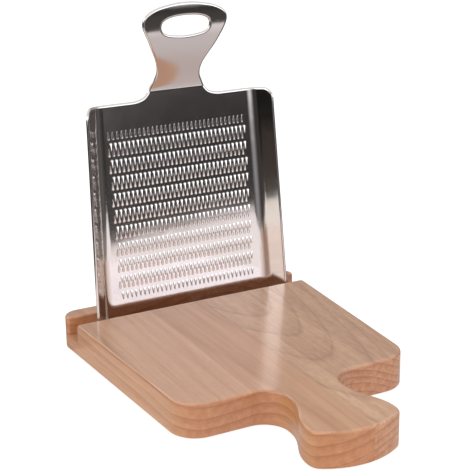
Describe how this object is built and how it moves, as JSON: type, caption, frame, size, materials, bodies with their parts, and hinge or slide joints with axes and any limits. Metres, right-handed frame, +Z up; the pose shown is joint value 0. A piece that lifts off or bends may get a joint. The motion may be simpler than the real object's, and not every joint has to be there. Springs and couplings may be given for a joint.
{
  "type": "cheese grater",
  "caption": "Upright sheet-steel grater with folded side flanges and a curved loop handle, standing in the groove of a small wooden board with a grip.",
  "frame": {"origin": "on the table, under the centre of the whole object's bounding box", "axes": "+Z up, +X to the right across the board, +Y from the board's grip towards the groove that holds the grater"},
  "size_m": [0.1428, 0.1982, 0.1843],
  "materials": {
    "wood": "oiled light hardwood, satin",
    "steel": "polished stainless steel"
  },
  "bodies": {
    "board": {"board_stave_left": "wood", "board_stave_centre": "wood", "board_stave_right": "wood"},
    "grater": {"grater_plate": "steel"}
  },
  "joints": [
    {"name": "grater_lift", "type": "slide", "parent": "board", "child": "grater", "axis": [0, 0.0951, 0.9955], "range_m": [0, 0.03]}
  ]
}
